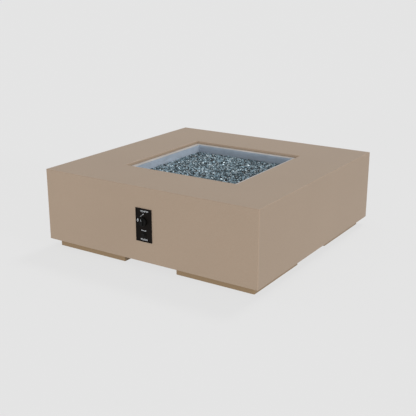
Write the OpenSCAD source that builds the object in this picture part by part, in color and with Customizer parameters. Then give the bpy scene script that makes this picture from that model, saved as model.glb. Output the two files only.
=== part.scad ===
// Square gas fire pit table: a folded sheet casing on four tray feet, with a drop-in fire pan,
// a burner under lava rock and fire glass, and a push-and-turn safety valve behind a control plate.
// Millimetres. The origin is the middle of the footprint on the floor, +Z is up, the front is -Y.

/* [Casing] */
// Width and depth of the square casing
body_w = 1220; // [1000:10:1500]
// Height of the casing above its feet
body_h = 368; // [340:1:450]
// Thickness of the casing sheet
sheet_t = 3; // [2:0.5:4]
// Outer radius of the casing's folded and ground edges
edge_r = 4; // [2:0.5:6]
// Width of the flange turned in along the foot of each side
base_flange = 80; // [72:1:110]
// Side of the square opening in the table top
opening_w = 655; // [560:5:760]
// Leg of the angle in each inner corner
post_leg = 40; // [30:1:60]
// Thickness of the corner angles and of the rails under the opening
angle_t = 3; // [2:0.5:5]

/* [Feet] */
// Height of the feet
foot_h = 40; // [30:1:60]
// Side of each square foot
foot_w = 420; // [300:5:440]
// Distance from the casing's faces in to the feet
foot_inset = 38; // [20:1:44]
// Thread diameter of the bolts that hold the feet
foot_bolt_d = 8; // [6:1:10]

/* [Fire pan] */
// Drop from the table top to the pan's flange
pan_drop = 14; // [8:1:25]
// Gap between the opening and the pan's flange
pan_gap = 3; // [2:0.5:6]
// Width of the pan's flange
pan_flange = 24; // [20:1:40]
// Sheet thickness of the pan
pan_t = 2; // [1.5:0.5:3]
// Depth of the pan below the top of its flange
pan_depth = 120; // [112:1:150]
// Drop from the table top to the fire glass at the pan's walls
glass_drop = 56; // [45:1:68]
// Rise of the fire glass from the walls to the middle
glass_crown = 10; // [4:1:16]
// Height of the sharp lumps on the fire glass
glass_lump = 8; // [2:1:10]

/* [Burner] */
// Side of the square burner between the middles of its tubes
burner_w = 420; // [320:5:460]
// Outer diameter of the burner's ring tube
burner_d = 21.3; // [18:0.1:26]
// Outer diameter of the burner's cross tubes and inlet wall
feed_d = 17.2; // [12:0.1:17.5]
// Wall of the burner's tubes
burner_t = 1.6; // [1:0.1:2.5]
// Height of the ring tube's middle above the pan's floor
burner_up = 30; // [26:1:32]
// Diameter of the gas ports
port_d = 2.4; // [1.6:0.1:3.2]
// Ports along each side of the ring
ports_side = 12; // [6:1:20]

/* [Controls] */
// Width of the control plate
plate_w = 91; // [88:1:120]
// Height of the control plate
plate_h = 162; // [156:1:200]
// Thickness of the control plate
plate_t = 3; // [2:0.5:5]
// Width of the raised rim round the control plate
rim_w = 4.5; // [3:0.5:6]
// Height of the raised rim
rim_t = 1.2; // [0.5:0.1:2.5]
// Height of the control plate's middle above the casing's underside
plate_up = 185; // [150:1:220]
// Height of the knob above the middle of the plate
knob_up = 19; // [12:1:24]
// Distance of the igniter below the middle of the plate
igniter_down = 46; // [42:1:54]
// Diameter of the knob
knob_d = 42; // [38:1:50]
// Length of the knob
knob_l = 16; // [14:1:22]
// Inward travel of the knob
knob_travel = 4; // [2:0.5:5]
// Diameter of the valve's stem and push rod
stem_d = 6; // [5:0.5:7]
// Diameter of the igniter's button
button_d = 16; // [12:1:18]
// Inward travel of the igniter's button
button_travel = 4; // [2:0.5:5]

/* [Gas line] */
// Outer diameter of the flexible gas hoses
hose_d = 16; // [12:1:18]
// Diameter of the flare thread at the gas inlet
inlet_d = 15.88; // [14:0.01:19]
// Length of the flare thread at the gas inlet
inlet_l = 16; // [10:1:18]

/* [Hidden] */
$fn = 48;
eps = 1;

// Finishes
tan_coat = [0.65, 0.58, 0.52];
bare_steel = [0.72, 0.74, 0.76];
zinc = [0.62, 0.64, 0.66];
brass = [0.78, 0.63, 0.32];
copper = [0.76, 0.46, 0.30];
black = [0.08, 0.08, 0.08];
ceramic = [0.92, 0.91, 0.88];

// Casing levels and faces
half = body_w / 2;
base_z = foot_h;
top_z = foot_h + body_h;
under_top = top_z - sheet_t;
flange_top = base_z + sheet_t;
inner = half - sheet_t;
face_y = -half;
arc_steps = 4;

// Opening, rails and pan
opening = opening_w / 2;
ledge_z = top_z - pan_drop - pan_t;
ledge_clear = 5;
pan_rim = opening - pan_gap;
pan_out = pan_rim - pan_flange;
pan_in = pan_out - pan_t;
ledge_tip = pan_out + ledge_clear;
pan_z = ledge_z + pan_t - pan_depth;
floor_z = pan_z + pan_t;
weep_r = 5;
weep_span = 250;

// Burner and media
media_clear = 0.4;
thread_clear = 0.2;
burner_z = floor_z + burner_up;
ring_r = burner_d / 2;
feed_r = feed_d / 2;
feed_start = feed_r + 0.5;
hub_r = ring_r + 5;
hub_top = burner_z + ring_r;
hub_foot = floor_z + 15;
nipple_end = pan_z - 28;
locknut_flats = 36;
locknut_h = 8;
lava_top = burner_z + ring_r + media_clear;
glass_half = pan_in - media_clear;
glass_cells = 60;

// Pilot group, set on the pan's floor inside one quarter of the burner
pilot_x = 70;
pilot_y = -110;
pilot_base = [44, 36];
pilot_foot_y = 6;
pilot_sheet = 1.5;
pilot_shelf = 18;
pilot_top = hub_top - 2;
pilot_screw_d = 4;
pilot_screw_x = 16;
pilot_screw_y = 11;
pilot_screw_tail = 6;
rod_collar = 1.5;
rod_collar_h = 3;
sense_x = 10;
sense_r = 2.5;
sense_tip = 4;
spark_x = -9;
spark_r = 4;
spark_sleeve = 7;
spark_wire_r = 1;
pilot_foot = pan_z - 12;

// Feet
foot_mid = half - foot_inset - foot_w / 2;
bolt_line = half - (foot_inset + base_flange) / 2;
bolt_end = 70;
bolt_span = foot_w / 2 - bolt_end;
bolt_clear = 0.5;
bolt_head_h = 0.65 * foot_bolt_d;
bolt_nut_h = 0.8 * foot_bolt_d;
bolt_flats = 1.6 * foot_bolt_d;
bolt_proud = 3;

// Control plate and its cut-out
plate_z = base_z + plate_up;
knob_z = plate_z + knob_up;
igniter_z = plate_z - igniter_down;
plate_y = face_y - plate_t;
rim_y = plate_y - rim_t;
cut_w = 66;
cut_above = 23;
cut_below = 20;
stud_d = 4;
stud_edge = 6.5;
stud_l = 9;
stud_clear = 0.3;

// Valve, measured inwards from the casing's front face
run_clear = 0.05;
seat_gap = 0.3;
stem_r = stem_d / 2;
valve_r = 17;
valve_l = 52;
neck_r = 8;
neck_out = 7;
valve_nut_h = 5;
valve_nut_flats = 24;
port_in = 34;
port_r = 9;
port_reach = 36;
flare_r = hose_d / 2 - 0.6;
flare_l = 11;
chamber_r = stem_r + 3.6;
chamber_front = 16;
chamber_back = 45;
collar_t = 3;
collar_clear = 0.6;
rod_tail = 10;
magnet_r = 9;
magnet_l = 28;
magnet_flats = 2 * magnet_r + 3;
magnet_hex_h = 8;
rod_end_gap = 2;
tail_l = 12;
tail_flats = 10;
gas_way = 3.5;

// Knob, measured outwards from the control plate
knob_gap = knob_travel + 1;
knob_hollow = neck_out + 1;
knob_face = 2.5;
knob_roof = 1.5;
knob_skirt = knob_hollow + knob_roof;
knob_lip = 1;
knob_soft = 1.5;
knob_wall = 4.5;
grip_w = 13;
grip_step = 4;
pointer_w = 1.6;
pointer_deep = 0.6;
pointer_from = 2;
d_flat = 0.6;
d_clear = 0.1;
stem_front = knob_gap + knob_l - knob_face - 0.3;

// Igniter, measured from the control plate's front
button_r = button_d / 2;
barrel_r = button_r + 2.2;
bezel_r = barrel_r + 2.6;
bezel_t = 3;
barrel_l = 52;
button_out = button_travel + 1;
button_in = 12;
igniter_bore = 34;
igniter_nut_h = 5;
igniter_nut_flats = 2 * barrel_r + 7;
terminal_l = 9;
terminal_w = 6;
terminal_t = 0.8;
button_soft = 2;
button_dish = 0.6;

// Springs
spring_turns = 6;
spring_wire = 0.7;
valve_coil_r = stem_r + 1.9;
igniter_coil_r = button_r - 2.4;

// Hoses and leads
hose_r = hose_d / 2;
hose_nut_l = 24;
hose_nut_flats = hose_d + 8;
nut_clear = 0.3;
mixer_r = hub_r;
mixer_l = 52;
mixer_hex_h = 18;
mixer_socket = 16;
mixer_top = nipple_end + mixer_socket;
mixer_foot = mixer_top - mixer_l;
air_hole_r = 4;
air_hole_up = 24;
elbow_s = 22;
elbow_z = mixer_foot - elbow_s / 2;
elbow_stub = 12;
elbow_reach = 20;
sense_lead_r = 1.6;
spark_lead_r = 2.2;

// Gas inlet, in the flange of the left side
inlet_x = -half + base_flange / 2 + 2;
inlet_hex_h = 10;
inlet_hex_flats = inlet_d + 8;
inlet_shank_r = inlet_d / 2 + 0.6;
inlet_lock_flats = inlet_hex_flats + 2;
inlet_lock_h = 7;
inlet_shank = 12;
inlet_port = flange_top + inlet_shank;

// Hose and lead routes: where a route starts, its corners with their bend radii, and where it ends
hose_bend = 70;
lead_bend = 60;
bend_steps = 8;
hose_run = 100;
outlet_side = 150;
outlet_back = 150;
outlet_drop = 8;
inlet_side = 170;
inlet_in = 150;
inlet_back = 300;
inlet_drop = 54;
sense_run = 70;
sense_side = 40;
sense_back = 190;
sense_drop = 6;
sense_dip = 34;
spark_run = 80;
spark_back = 250;
spark_drop = 23;
spark_dip = 19;
valve_port_y = face_y + port_in;
port_tip = port_reach + flare_l;
hose_start = port_tip + seat_gap;
elbow_tip = elbow_s / 2 + elbow_reach;
outlet_route = [
  [0, -elbow_tip - seat_gap, elbow_z],
  [[0, -elbow_tip - hose_run, elbow_z], 2 * hose_bend],
  [[outlet_side, valve_port_y + outlet_back, knob_z - outlet_drop], hose_bend],
  [[outlet_side, valve_port_y, knob_z], hose_bend],
  [hose_start, valve_port_y, knob_z]
];
inlet_start = inlet_port + flare_l + seat_gap;
inlet_route = [
  [inlet_x, 0, inlet_start],
  [[inlet_x, 0, inlet_start + hose_run], hose_bend],
  [[inlet_x + inlet_in, valve_port_y + inlet_back, knob_z - inlet_drop], 4 * hose_bend],
  [[-inlet_side, valve_port_y, knob_z], hose_bend],
  [-hose_start, valve_port_y, knob_z]
];
magnet_tail = face_y + valve_l + magnet_l + tail_l;
sense_route = [
  [0, magnet_tail + seat_gap, knob_z],
  [[0, magnet_tail + sense_run, knob_z], lead_bend],
  [[sense_side, magnet_tail + sense_back, knob_z - sense_drop], lead_bend],
  [[pilot_x + sense_x, pilot_y, pilot_foot - sense_dip], lead_bend / 4],
  [pilot_x + sense_x, pilot_y, pilot_foot - seat_gap]
];
terminal_end = plate_y + barrel_l + terminal_l;
spark_route = [
  [0, terminal_end + seat_gap, igniter_z],
  [[0, terminal_end + spark_run, igniter_z], lead_bend],
  [[0, terminal_end + spark_back, igniter_z - spark_drop], lead_bend],
  [[pilot_x + spark_x, pilot_y, igniter_z - spark_dip], lead_bend * 2 / 3],
  [pilot_x + spark_x, pilot_y, pilot_foot - seat_gap]
];

// Points along an arc about [cx, cy], from angle a to angle b
function arc(cx, cy, r, a, b) =
  [for (i = [0:arc_steps]) let (w = a + (b - a) * i / arc_steps) [cx + r * cos(w), cy + r * sin(w)]];

// A square outline with round corners
function round_square(h, r) =
  [for (q = [0:3]) each arc(
    (q == 0 || q == 3 ? 1 : -1) * (h - r), (q < 2 ? 1 : -1) * (h - r), r, 90 * q, 90 * q + 90)];

function unit(v) = v / norm(v);

// A corner at b rounded to radius r, between the straight runs to a and c
function bend(a, b, c, r) =
  let (
    u = unit(a - b),
    v = unit(c - b),
    half_angle = acos(u * v) / 2,
    start = b + u * r / tan(half_angle),
    middle = b + unit(u + v) * r / sin(half_angle)
  )
    [
      for (i = [0:bend_steps])
        let (w = (180 - 2 * half_angle) * i / bend_steps)
          middle + (start - middle) * cos(w) - u * r * sin(w)
    ];

// The points of a route, with each of its corners rounded
function bent(route) =
  let (last = len(route) - 1, place = [for (i = [0:last]) i == 0 || i == last ? route[i] : route[i][0]])
    concat(
      [place[0]],
      [for (i = [1:last - 1]) each bend(place[i - 1], place[i], place[i + 1], route[i][1])],
      [place[last]]);

// A closed tube swept along points; across is never parallel to the route
module tube_along(path, r, sides, across) {
  n = len(path);
  rings = [
    for (i = [0:n - 1])
      let (
        t = unit(path[min(i + 1, n - 1)] - path[max(i - 1, 0)]),
        u = unit(cross(t, across)),
        v = cross(u, t)
      )
        for (k = [0:sides - 1]) path[i] + r * (cos(360 * k / sides) * u + sin(360 * k / sides) * v)
  ];
  walls = [
    for (i = [0:n - 2]) for (k = [0:sides - 1])
      let (a = i * sides + k, b = i * sides + (k + 1) % sides)
        each [[a, b, a + sides], [b, b + sides, a + sides]]
  ];
  first = [for (k = [0:sides - 1]) sides - 1 - k];
  last = [for (k = [0:sides - 1]) (n - 1) * sides + k];
  polyhedron(points = rings, faces = concat(walls, [first, last]), convexity = 10);
}

// A coil spring along +Y
module coil_spring(y0, y1, r) {
  count = spring_turns * 8;
  wire_y = [y0 + spring_wire, y1 - spring_wire];
  path = [
    for (i = [0:count])
      let (w = 360 * spring_turns * i / count)
        [r * cos(w), wire_y[0] + (wire_y[1] - wire_y[0]) * i / count, r * sin(w)]
  ];
  tube_along(path, spring_wire, 6, [0, 1, 0]);
}

// Shafts and hexagons along +Y between two places
module rod_y(r, y0, y1) {
  translate([0, y0, 0]) rotate([-90, 0, 0]) cylinder(r = r, h = y1 - y0);
}

module hex_y(flats, y0, y1) {
  translate([0, y0, 0]) rotate([-90, 0, 0]) cylinder(d = flats / cos(30), h = y1 - y0, $fn = 6);
}

module hex_nut(flats, h, bore_r) {
  difference() {
    cylinder(d = flats / cos(30), h = h, $fn = 6);
    translate([0, 0, -eps]) cylinder(r = bore_r, h = h + 2 * eps);
  }
}

// The places of the foot bolts on all four feet
module at_foot_bolts() {
  for (q = [0:3]) rotate([0, 0, 90 * q])
    for (side = [-1, 1]) for (along = [-1, 1])
      translate([side * foot_mid + along * bolt_span, -bolt_line, 0]) children();
}

// One side of the casing, as the front: a wall with a turned-in flange, mitred to its neighbours
module side_panel() {
  r = edge_r;
  plan = concat(
    arc(half - r, -half + r, r, -90, -45), [[half - base_flange, -half + base_flange]],
    [[-half + base_flange, -half + base_flange]], arc(-half + r, -half + r, r, -135, -90));
  section = concat(
    [[-half + base_flange, base_z]], arc(-half + r, base_z + r, r, 270, 180),
    arc(-half + r, top_z - r, r, 180, 135), [[-half + sheet_t, top_z - sheet_t]],
    [[-half + sheet_t, flange_top]], [[-half + base_flange, flange_top]]);
  difference() {
    intersection() {
      translate([0, 0, base_z]) linear_extrude(body_h) polygon(plan);
      rotate([90, 0, 90]) linear_extrude(body_w, center = true) polygon(section);
    }
    for (side = [-1, 1]) for (along = [-1, 1])
      translate([side * foot_mid + along * bolt_span, -bolt_line, base_z - eps])
        cylinder(d = foot_bolt_d + 2 * bolt_clear, h = sheet_t + 2 * eps);
  }
}

// The table top, mitred to the sides, with a rolled edge and a skirt round its opening
module top_panel() {
  r = edge_r;
  slab = concat(
    arc(half - r, top_z - r, r, 45, 90), arc(-half + r, top_z - r, r, 90, 135),
    [[-half + sheet_t, under_top], [half - sheet_t, under_top]]);
  mouth = concat(
    [[-opening, ledge_z - eps], [opening, ledge_z - eps]], arc(opening + r, top_z - r, r, 180, 90),
    [[opening + r, top_z + eps], [-opening - r, top_z + eps]], arc(-opening - r, top_z - r, r, 90, 0));
  skirt = 2 * (opening + sheet_t);
  color(tan_coat) difference() {
    union() {
      intersection() {
        rotate([90, 0, 0]) linear_extrude(body_w, center = true) polygon(slab);
        rotate([90, 0, 90]) linear_extrude(body_w, center = true) polygon(slab);
      }
      translate([-skirt / 2, -skirt / 2, ledge_z]) cube([skirt, skirt, under_top + eps - ledge_z]);
    }
    intersection() {
      rotate([90, 0, 0]) linear_extrude(body_w, center = true) polygon(mouth);
      rotate([90, 0, 90]) linear_extrude(body_w, center = true) polygon(mouth);
    }
  }
}

module front_panel() {
  cut_z = igniter_z - cut_below;
  color(tan_coat) difference() {
    side_panel();
    translate([-cut_w / 2, face_y - eps, cut_z])
      cube([cut_w, sheet_t + 2 * eps, knob_z + cut_above - cut_z]);
    at_studs() rod_y(stud_d / 2 + stud_clear, face_y - eps, -inner + eps);
  }
}

module right_panel() {
  color(tan_coat) rotate([0, 0, 90]) side_panel();
}

module back_panel() {
  color(tan_coat) rotate([0, 0, 180]) side_panel();
}

module left_panel() {
  color(tan_coat) difference() {
    rotate([0, 0, 270]) side_panel();
    translate([inlet_x, 0, base_z - eps]) cylinder(r = inlet_shank_r + bolt_clear, h = sheet_t + 2 * eps);
  }
}

// Angles that stiffen the inner corners, from the flanges up to the table top
module corner_posts() {
  leg = post_leg;
  t = angle_t;
  angle = [[0, 0], [leg, 0], [leg, t], [t, t], [t, leg], [0, leg]];
  color(tan_coat) for (q = [0:3]) rotate([0, 0, 90 * q])
    translate([-inner, -inner, flange_top]) linear_extrude(under_top - flange_top) polygon(angle);
}

// Four angle rails, mitred at the corners, that carry the pan's flange
module ledge_rails() {
  back = -opening - sheet_t - angle_t;
  foot = ledge_z - angle_t;
  section = [
    [back, foot], [-ledge_tip, foot], [-ledge_tip, ledge_z], [-opening - sheet_t, ledge_z],
    [-opening - sheet_t, under_top], [back, under_top]
  ];
  color(tan_coat) for (q = [0:3]) rotate([0, 0, 90 * q]) intersection() {
    rotate([90, 0, 90]) linear_extrude(-2 * back, center = true) polygon(section);
    translate([0, 0, foot]) linear_extrude(under_top - foot)
      polygon([[back, back], [-back, back], [ledge_tip, -ledge_tip], [-ledge_tip, -ledge_tip]]);
  }
}

// A foot is a ring of folded sheet, open below, under a plate that is bolted up to the casing's flanges
module foot(sx, sy) {
  color(tan_coat) translate([sx * foot_mid, sy * foot_mid, 0])
    linear_extrude(foot_h - sheet_t) difference() {
      polygon(round_square(foot_w / 2, edge_r));
      square(foot_w - 2 * sheet_t, center = true);
    }
}

module foot_front_left() {
  foot(-1, -1);
}

module foot_front_right() {
  foot(1, -1);
}

module foot_back_left() {
  foot(-1, 1);
}

module foot_back_right() {
  foot(1, 1);
}

module foot_plates() {
  color(tan_coat) difference() {
    for (sx = [-1, 1]) for (sy = [-1, 1]) translate([sx * foot_mid, sy * foot_mid, foot_h - sheet_t])
      linear_extrude(sheet_t) polygon(round_square(foot_w / 2, edge_r));
    at_foot_bolts() translate([0, 0, foot_h - sheet_t - eps])
      cylinder(d = foot_bolt_d + 2 * bolt_clear, h = sheet_t + 2 * eps);
  }
}

module foot_bolts() {
  head = foot_h - sheet_t;
  color(zinc) at_foot_bolts() {
    translate([0, 0, head - bolt_head_h]) cylinder(d = bolt_flats / cos(30), h = bolt_head_h, $fn = 6);
    translate([0, 0, head - eps])
      cylinder(d = foot_bolt_d, h = 2 * sheet_t + bolt_nut_h + bolt_proud + eps);
  }
}

module foot_nuts() {
  color(zinc) at_foot_bolts()
    translate([0, 0, flange_top]) hex_nut(bolt_flats, bolt_nut_h, foot_bolt_d / 2 + thread_clear);
}

// The drop-in pan: a flange on the rails, straight walls, and a floor with holes
module fire_pan() {
  color(bare_steel) difference() {
    union() {
      translate([-pan_out, -pan_out, pan_z]) cube([2 * pan_out, 2 * pan_out, pan_depth]);
      translate([-pan_rim, -pan_rim, ledge_z]) cube([2 * pan_rim, 2 * pan_rim, pan_t]);
    }
    translate([-pan_in, -pan_in, floor_z]) cube([2 * pan_in, 2 * pan_in, pan_depth]);
    translate([0, 0, pan_z - eps]) cylinder(r = ring_r + bolt_clear, h = pan_t + 2 * eps);
    for (q = [0:7]) rotate([0, 0, 45 * q]) translate([weep_span, 0, pan_z - eps])
      cylinder(r = weep_r, h = pan_t + 2 * eps);
    translate([pilot_x, pilot_y, pan_z - eps]) {
      translate([sense_x, 0, 0]) cylinder(r = sense_r + media_clear, h = pan_t + 2 * eps);
      translate([spark_x, 0, 0]) cylinder(r = spark_r + media_clear, h = pan_t + 2 * eps);
    }
    at_pilot_screws() translate([0, 0, pan_z - eps])
      cylinder(d = pilot_screw_d + 2 * thread_clear, h = pan_t + 2 * eps);
  }
}

// The tubes of the burner: a mitred square ring, four cross tubes, a hub and an inlet
module burner_tubes(wall, hub_cap) {
  reach = burner_w / 2 + ring_r;
  translate([0, 0, burner_z]) for (q = [0:3]) rotate([0, 0, 90 * q]) {
    intersection() {
      translate([-reach, -burner_w / 2, 0]) rotate([0, 90, 0]) cylinder(r = ring_r - wall, h = 2 * reach);
      linear_extrude(4 * ring_r, center = true) polygon([[0, 0], [-reach, -reach], [reach, -reach]]);
    }
    translate([feed_start, 0, 0]) rotate([0, 90, 0])
      cylinder(r = feed_r - wall, h = burner_w / 2 - feed_start);
  }
  translate([0, 0, hub_foot + hub_cap]) cylinder(r = hub_r - wall, h = hub_top - hub_foot - 2 * hub_cap);
}

module burner_ring() {
  step = burner_w / (ports_side + 1);
  color(bare_steel) difference() {
    union() {
      burner_tubes(0, 0);
      translate([0, 0, nipple_end]) cylinder(r = ring_r, h = hub_foot + eps - nipple_end);
    }
    burner_tubes(burner_t, burner_t);
    translate([0, 0, nipple_end - eps])
      cylinder(r = ring_r - burner_t, h = hub_foot + 2 * burner_t + eps - nipple_end);
    for (q = [0:3]) rotate([0, 0, 90 * q]) for (i = [1:ports_side])
      translate([i * step - burner_w / 2, -burner_w / 2, burner_z]) cylinder(d = port_d, h = ring_r + eps);
  }
}

// Locknuts on the burner's inlet, above and below the pan's floor
module burner_locknuts() {
  color(brass) for (z = [floor_z, pan_z - locknut_h])
    translate([0, 0, z]) hex_nut(locknut_flats, locknut_h, ring_r + thread_clear);
}

// The bed of lava rock, level with the top of the burner, with room for the tubes and the pilot
module lava_rock() {
  groove = ring_r + media_clear;
  deep = lava_top - burner_z + groove + eps;
  color([0.20, 0.16, 0.15]) difference() {
    translate([-glass_half, -glass_half, floor_z])
      cube([2 * glass_half, 2 * glass_half, lava_top - floor_z]);
    for (q = [0:3]) rotate([0, 0, 90 * q]) {
      translate([-burner_w / 2 - groove, -burner_w / 2 - groove, burner_z - groove])
        cube([burner_w + 2 * groove, 2 * groove, deep]);
      translate([0, -groove, burner_z - groove]) cube([burner_w / 2, 2 * groove, deep]);
    }
    translate([0, 0, floor_z - eps])
      cylinder(r = locknut_flats / 2 / cos(30) + media_clear, h = lava_top - floor_z + 2 * eps);
    translate([pilot_x - pilot_base[0] / 2 - eps, pilot_y - pilot_base[1] / 2 - eps, floor_z - eps])
      cube([pilot_base[0] + 2 * eps, pilot_base[1] + 2 * eps, lava_top - floor_z + 2 * eps]);
  }
}

// The crowned bed of crushed fire glass, with a jagged surface
module fire_glass() {
  n = glass_cells;
  row = n + 1;
  crown_z = top_z - glass_drop;
  place = [for (i = [0:n]) glass_half * (2 * i / n - 1)];
  lump = rands(-glass_lump / 2, glass_lump / 2, row * row, 41);
  shift = rands(-0.35, 0.35, 2 * row * row, 17);
  cell = 2 * glass_half / n;
  top = [
    for (j = [0:n]) for (i = [0:n])
      let (
        k = j * row + i,
        x = place[i] + (i == 0 || i == n ? 0 : cell * shift[2 * k]),
        y = place[j] + (j == 0 || j == n ? 0 : cell * shift[2 * k + 1]),
        rise = cos(90 * place[i] / glass_half) * cos(90 * place[j] / glass_half)
      )
        [x, y, crown_z + glass_crown * rise + lump[k]]
  ];
  edge = concat(
    [for (i = [0:n - 1]) i], [for (j = [0:n - 1]) j * row + n],
    [for (i = [0:n - 1]) n * row + n - i], [for (j = [0:n - 1]) (n - j) * row]);
  m = len(edge);
  foot = [for (e = edge) [top[e][0], top[e][1], lava_top]];
  base = row * row;
  color([0.36, 0.42, 0.45]) polyhedron(
    points = concat(top, foot, [[0, 0, lava_top]]),
    faces = concat(
      [for (j = [0:n - 1]) for (i = [0:n - 1]) let (a = j * row + i)
        each [[a, a + row, a + 1], [a + 1, a + row, a + row + 1]]],
      [for (k = [0:m - 1]) let (l = (k + 1) % m)
        each [
          [base + k, edge[k], edge[l]], [base + k, edge[l], base + l], [base + k, base + l, base + m]
        ]]),
    convexity = 10);
}

module at_pilot_screws() {
  for (side = [-1, 1]) translate([pilot_x + side * pilot_screw_x, pilot_y + pilot_screw_y, 0]) children();
}

// A folded bracket with a shelf that holds the flame sensor and the spark electrode
module pilot_bracket() {
  t = pilot_sheet;
  w = pilot_base[0];
  d = pilot_base[1];
  color(bare_steel) difference() {
    translate([pilot_x - w / 2, pilot_y - d / 2, floor_z]) {
      translate([0, d / 2 + pilot_foot_y, 0]) cube([w, d / 2 - pilot_foot_y, t]);
      translate([0, d - t, 0]) cube([w, t, pilot_shelf]);
      translate([0, 0, pilot_shelf - t]) cube([w, d, t]);
    }
    translate([pilot_x + sense_x, pilot_y, floor_z + pilot_shelf - t - eps])
      cylinder(r = sense_r + thread_clear, h = t + 2 * eps);
    translate([pilot_x + spark_x, pilot_y, floor_z + pilot_shelf - t - eps])
      cylinder(r = spark_r + thread_clear, h = t + 2 * eps);
    at_pilot_screws() translate([0, 0, floor_z - eps])
      cylinder(d = pilot_screw_d + 2 * thread_clear, h = t + 2 * eps);
  }
}

module pilot_screws() {
  head = floor_z + pilot_sheet;
  color(zinc) at_pilot_screws() {
    translate([0, 0, head]) cylinder(d = 2 * pilot_screw_d, h = 0.6 * pilot_screw_d);
    translate([0, 0, pan_z - pilot_screw_tail])
      cylinder(d = pilot_screw_d, h = head + eps - pan_z + pilot_screw_tail);
  }
}

// The flame sensor, a steel rod through the pan's floor with a collar on the shelf
module thermocouple() {
  color(bare_steel) translate([pilot_x + sense_x, pilot_y, 0]) {
    translate([0, 0, pilot_foot]) cylinder(r = sense_r, h = pilot_top - sense_tip - pilot_foot);
    translate([0, 0, floor_z + pilot_shelf]) cylinder(r = sense_r + rod_collar, h = rod_collar_h);
    translate([0, 0, pilot_top - sense_tip]) cylinder(r1 = sense_r, r2 = sense_r / 2, h = sense_tip);
  }
}

// The spark electrode, a ceramic sleeve with a wire that stands above it
module spark_electrode() {
  shelf = floor_z + pilot_shelf;
  sleeve_top = shelf + spark_sleeve;
  color(ceramic) translate([pilot_x + spark_x, pilot_y, 0]) {
    translate([0, 0, pilot_foot]) cylinder(r = spark_r, h = sleeve_top - pilot_foot);
    translate([0, 0, shelf]) cylinder(r = spark_r + rod_collar, h = rod_collar_h);
    translate([0, 0, sleeve_top - eps]) cylinder(r = spark_wire_r, h = pilot_top - sleeve_top + eps);
  }
}

// The air mixer on the end of the burner's inlet, with four air holes
module air_mixer() {
  bore = ring_r - burner_t;
  color(brass) translate([0, 0, mixer_foot]) difference() {
    union() {
      cylinder(r = mixer_r - 2, h = mixer_l);
      translate([0, 0, mixer_l - mixer_hex_h])
        cylinder(d = locknut_flats / cos(30), h = mixer_hex_h, $fn = 6);
    }
    translate([0, 0, elbow_stub + 2]) cylinder(r = bore, h = mixer_l);
    translate([0, 0, mixer_l - mixer_socket]) cylinder(r = ring_r + thread_clear, h = mixer_socket + eps);
    translate([0, 0, -eps]) cylinder(r = flare_r + thread_clear, h = elbow_stub + 4);
    for (q = [0:1]) rotate([0, 0, 45 + 90 * q]) translate([0, 0, air_hole_up]) rotate([0, 90, 0])
      cylinder(r = air_hole_r - q * 0.2, h = 4 * mixer_r, center = true);
  }
}

// The elbow that turns the outlet hose up into the air mixer
module burner_elbow() {
  color(brass) translate([0, 0, elbow_z]) difference() {
    union() {
      translate([-elbow_s / 2, -elbow_s / 2, -elbow_s / 2]) cube(elbow_s);
      cylinder(r = flare_r, h = elbow_s / 2 + elbow_stub);
      rotate([90, 0, 0]) cylinder(r = flare_r, h = elbow_tip);
    }
    translate([0, 0, -gas_way - eps]) cylinder(r = gas_way + eps, h = elbow_s + elbow_stub);
    rotate([90, 0, 0]) cylinder(r = gas_way, h = elbow_tip + eps);
  }
}

module outlet_hose() {
  color(bare_steel) tube_along(bent(outlet_route), hose_r, 12, [0, 0, 1]);
}

module inlet_hose() {
  color(bare_steel) tube_along(bent(inlet_route), hose_r, 12, [0.6, 0.8, 0]);
}

// One nut at each end of both hoses, over the fitting's flare and the hose's end
module hose_nuts() {
  bore = hose_r + nut_clear;
  color(brass) {
    for (side = [-1, 1]) translate([side * (port_reach + seat_gap), valve_port_y, knob_z])
      rotate([0, side * 90, 0]) hex_nut(hose_nut_flats, hose_nut_l, bore);
    translate([0, flare_l - elbow_tip, elbow_z])
      rotate([90, 0, 0]) hex_nut(hose_nut_flats, hose_nut_l, bore);
    translate([inlet_x, 0, inlet_port + seat_gap]) hex_nut(hose_nut_flats, hose_nut_l, bore);
  }
}

// The gas inlet: a flare thread below the left flange, a hexagon under it and a port above it
module inlet_fitting() {
  color(brass) translate([inlet_x, 0, 0]) difference() {
    union() {
      translate([0, 0, base_z - inlet_hex_h - inlet_l]) cylinder(d = inlet_d, h = inlet_l + eps);
      translate([0, 0, base_z - inlet_hex_h])
        cylinder(d = inlet_hex_flats / cos(30), h = inlet_hex_h, $fn = 6);
      translate([0, 0, base_z - eps]) cylinder(r = inlet_shank_r, h = sheet_t + inlet_shank + eps);
      translate([0, 0, inlet_port - eps]) cylinder(r = flare_r, h = flare_l + eps);
    }
    translate([0, 0, base_z - inlet_hex_h - inlet_l - eps])
      cylinder(r = gas_way, h = inlet_l + inlet_hex_h + sheet_t + inlet_shank + flare_l + 2 * eps);
  }
}

module inlet_locknut() {
  color(brass) translate([inlet_x, 0, flange_top])
    hex_nut(inlet_lock_flats, inlet_lock_h, inlet_shank_r + thread_clear);
}

// The valve body: a drilled barrel with a threaded neck and a gas port on each side
module gas_valve() {
  color(brass) translate([0, 0, knob_z]) difference() {
    union() {
      rod_y(valve_r, face_y, face_y + valve_l);
      rod_y(neck_r, plate_y - neck_out, face_y + eps);
      for (side = [-1, 1]) translate([0, valve_port_y, 0]) rotate([0, side * 90, 0]) {
        cylinder(r = port_r, h = port_reach);
        cylinder(r = flare_r, h = port_tip);
      }
    }
    rod_y(stem_r + run_clear, plate_y - neck_out - eps, face_y + valve_l + eps);
    rod_y(chamber_r, face_y + chamber_front, face_y + chamber_back);
    for (side = [-1, 1]) translate([side * stem_r, valve_port_y, 0]) rotate([0, side * 90, 0])
      cylinder(r = gas_way, h = port_tip + eps);
  }
}

module valve_nut() {
  color(zinc) translate([0, plate_y - valve_nut_h, knob_z]) rotate([-90, 0, 0])
    hex_nut(valve_nut_flats, valve_nut_h, neck_r + thread_clear);
}

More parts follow.
